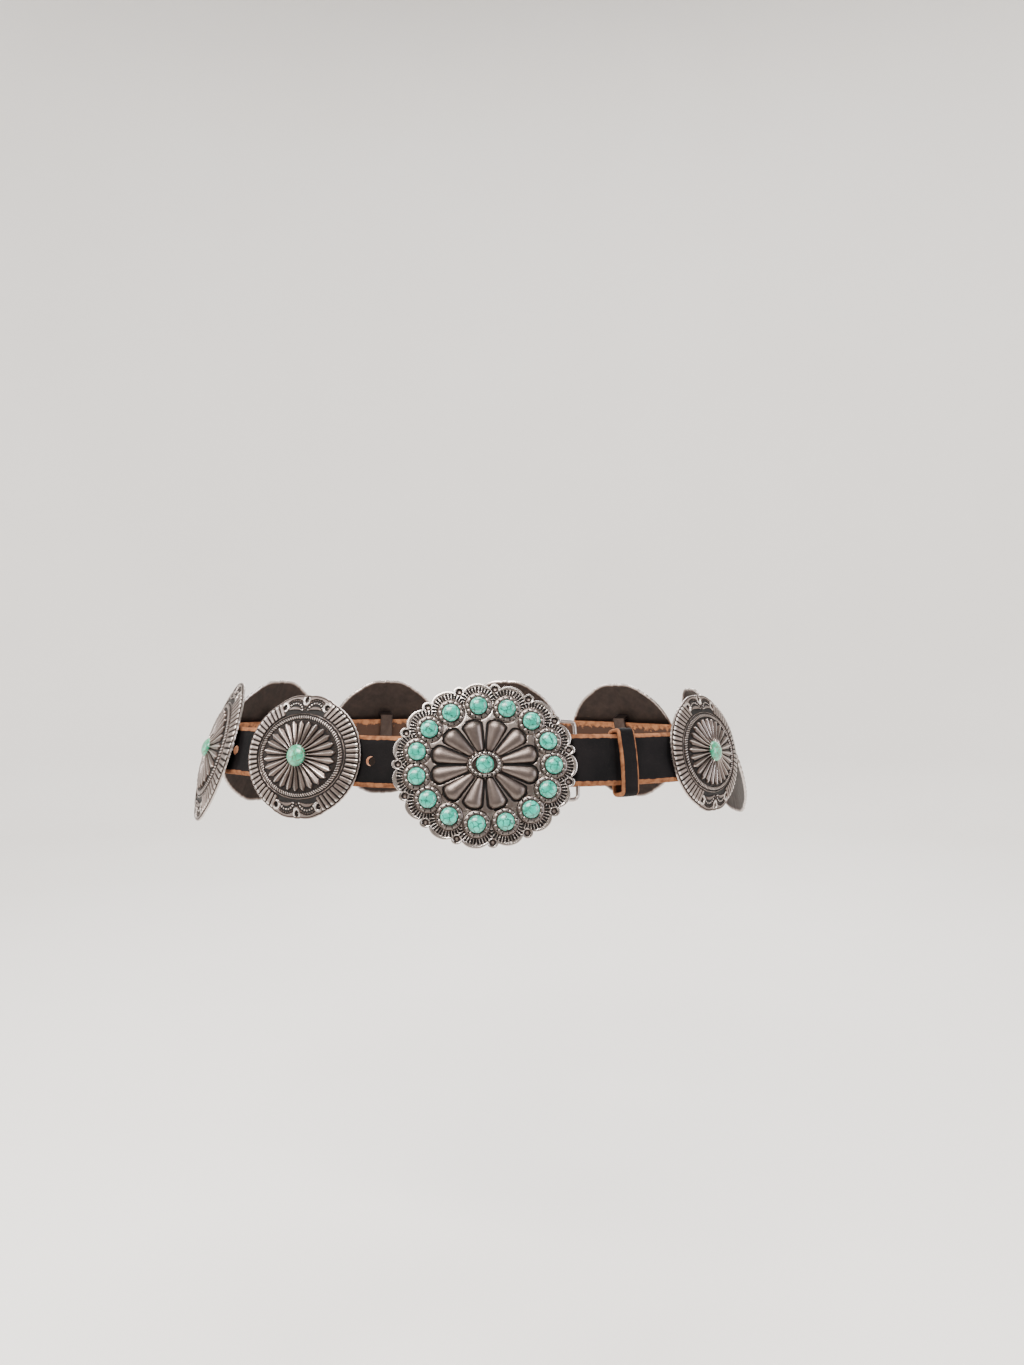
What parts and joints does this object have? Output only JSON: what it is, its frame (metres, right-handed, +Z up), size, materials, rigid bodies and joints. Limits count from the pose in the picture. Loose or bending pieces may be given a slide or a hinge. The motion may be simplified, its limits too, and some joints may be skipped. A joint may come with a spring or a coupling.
{
  "type": "concho belt",
  "caption": "Fastened leather belt with a scalloped oval buckle, turquoise cabochons and domed round conchos along the strap.",
  "frame": {"origin": "middle of the waist opening at the strap's half height", "axes": "+Z up along the waist, -Y out of the buckle's face, +X to the right as the buckle is seen"},
  "size_m": [0.3214, 0.2362, 0.0803],
  "materials": {
    "antique_silver": "cast, blackened in the recesses and rubbed bright on the high relief",
    "turquoise_stone": "polished cabochon with fine brown matrix veins",
    "black_leather": "matte waxed grain with bevelled raw tan edges"
  },
  "bodies": {
    "root": {"buckle_plate": "antique_silver", "buckle_stone_1": "turquoise_stone", "buckle_stone_10": "turquoise_stone", "buckle_stone_11": "turquoise_stone", "buckle_stone_12": "turquoise_stone", "buckle_stone_13": "turquoise_stone", "buckle_stone_14": "turquoise_stone", "buckle_stone_15": "turquoise_stone", "buckle_stone_2": "turquoise_stone", "buckle_stone_3": "turquoise_stone", "buckle_stone_4": "turquoise_stone", "buckle_stone_5": "turquoise_stone", "buckle_stone_6": "turquoise_stone", "buckle_stone_7": "turquoise_stone", "buckle_stone_8": "turquoise_stone", "buckle_stone_9": "turquoise_stone", "buckle_stone_centre": "turquoise_stone", "concho_1": "antique_silver", "concho_2": "antique_silver", "concho_3": "antique_silver", "concho_4": "antique_silver", "concho_5": "antique_silver", "concho_6": "antique_silver", "concho_7": "antique_silver", "concho_8": "antique_silver", "concho_stone_1": "turquoise_stone", "concho_stone_2": "turquoise_stone", "concho_stone_3": "turquoise_stone", "concho_stone_4": "turquoise_stone", "concho_stone_5": "turquoise_stone", "concho_stone_6": "turquoise_stone", "concho_stone_7": "turquoise_stone", "concho_stone_8": "turquoise_stone", "heel_loop": "antique_silver", "keeper": "black_leather", "strap": "black_leather"}
  },
  "joints": []
}
